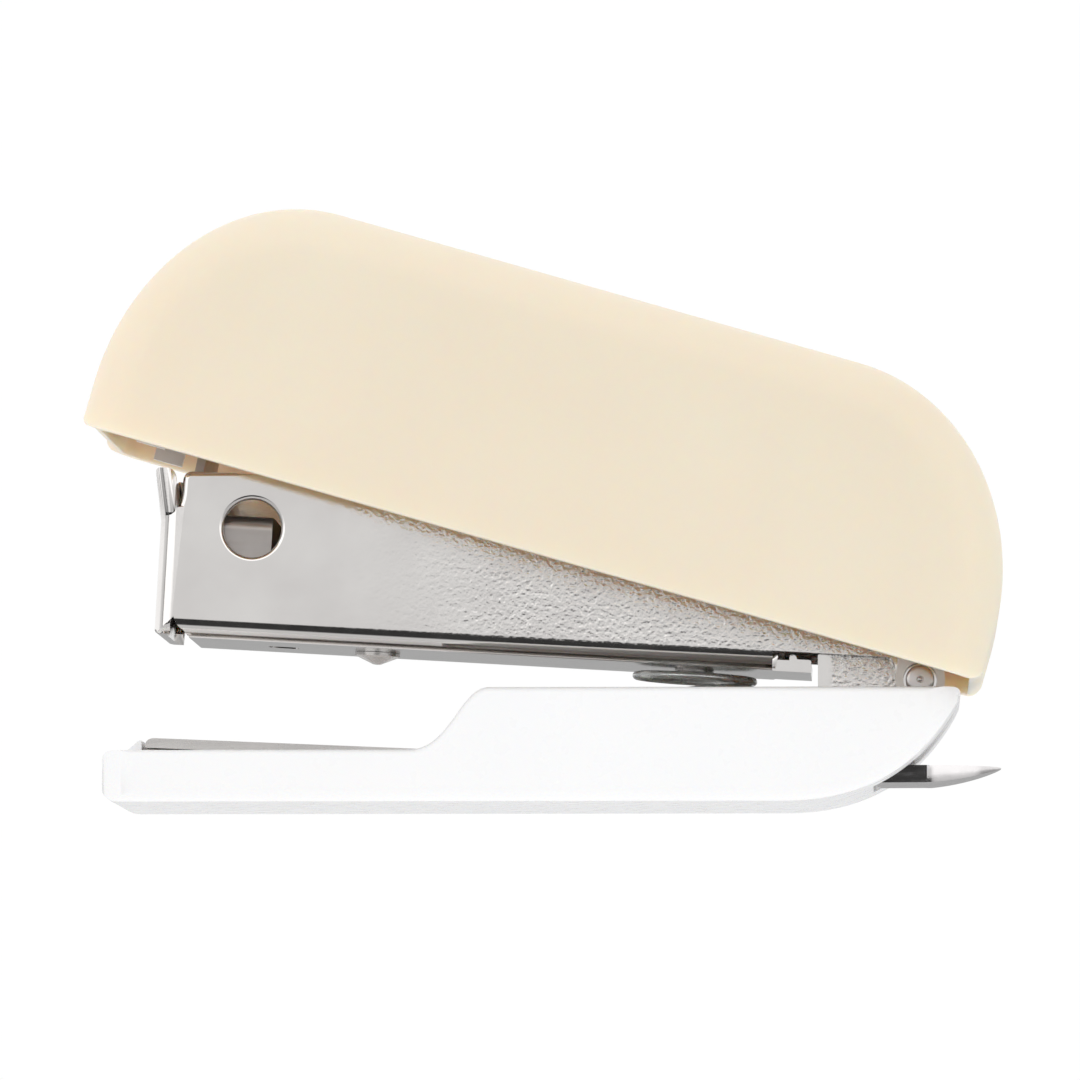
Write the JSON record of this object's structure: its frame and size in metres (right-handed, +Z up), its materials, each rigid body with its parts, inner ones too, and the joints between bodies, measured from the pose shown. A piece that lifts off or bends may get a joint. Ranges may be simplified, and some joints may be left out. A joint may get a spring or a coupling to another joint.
{
  "type": "stapler",
  "caption": "Mini desk stapler: hinged plastic cover and steel magazine over a plastic base with anvil plate, and a staple-remover tongue at the tail.",
  "frame": {"origin": "centre of the bounding box at rest, on the surface the base stands on", "axes": "+X runs from the staple exit at the front to the pivot and remover at the rear, +Y across the stapler, +Z up"},
  "size_m": [0.0644, 0.027, 0.0416],
  "materials": {
    "cover_plastic": "smooth semi-matte moulded plastic, beige",
    "base_plastic": "glossy moulded plastic, white",
    "plated_sheet": "bright nickel plating on sheet steel, grained towards the rear",
    "bright_steel": "bright plated steel",
    "spring_wire": "bright drawn spring wire"
  },
  "bodies": {
    "base": {"base_shell": "base_plastic", "base_plate": "bright_steel", "staple_remover": "bright_steel", "hinge_bracket": "plated_sheet", "bracket_rivet_left": "bright_steel", "bracket_rivet_right": "bright_steel", "pivot_rivet": "bright_steel", "return_spring": "spring_wire"},
    "magazine": {"magazine_frame": "plated_sheet", "staple_rail": "bright_steel", "rail_rivet_front": "bright_steel", "rail_rivet_rear": "bright_steel", "guide_rod": "bright_steel", "rod_stop": "bright_steel", "pusher_spring": "spring_wire", "handle_spring": "spring_wire"},
    "pusher": {"pusher": "bright_steel"},
    "handle": {"cover_shell": "cover_plastic", "press_lever": "bright_steel", "driver_blade": "bright_steel", "blade_rivet_left": "bright_steel", "blade_rivet_right": "bright_steel"}
  },
  "joints": [
    {"name": "magazine_hinge", "type": "hinge", "parent": "base", "child": "magazine", "pos_m": [0.02626, 0, 0.00858], "axis": [0, 1, 0], "range_deg": [-7.3, 0], "stiffness_Nm_per_rad": 0.5, "springref_deg": 5.73, "deforming": ["return_spring"]},
    {"name": "cover_hinge", "type": "hinge", "parent": "magazine", "child": "handle", "pos_m": [0.02626, 0, 0.00858], "axis": [0, 1, 0], "range_deg": [-8.5, 42], "stiffness_Nm_per_rad": 0.2, "springref_deg": 1.15, "deforming": ["handle_spring"]},
    {"name": "pusher_slide", "type": "slide", "parent": "magazine", "child": "pusher", "axis": [0.9983, 0, -0.0576], "range_m": [0, 0.027], "stiffness_N_per_m": 60, "springref_m": -0.03, "deforming": ["pusher_spring"]}
  ]
}
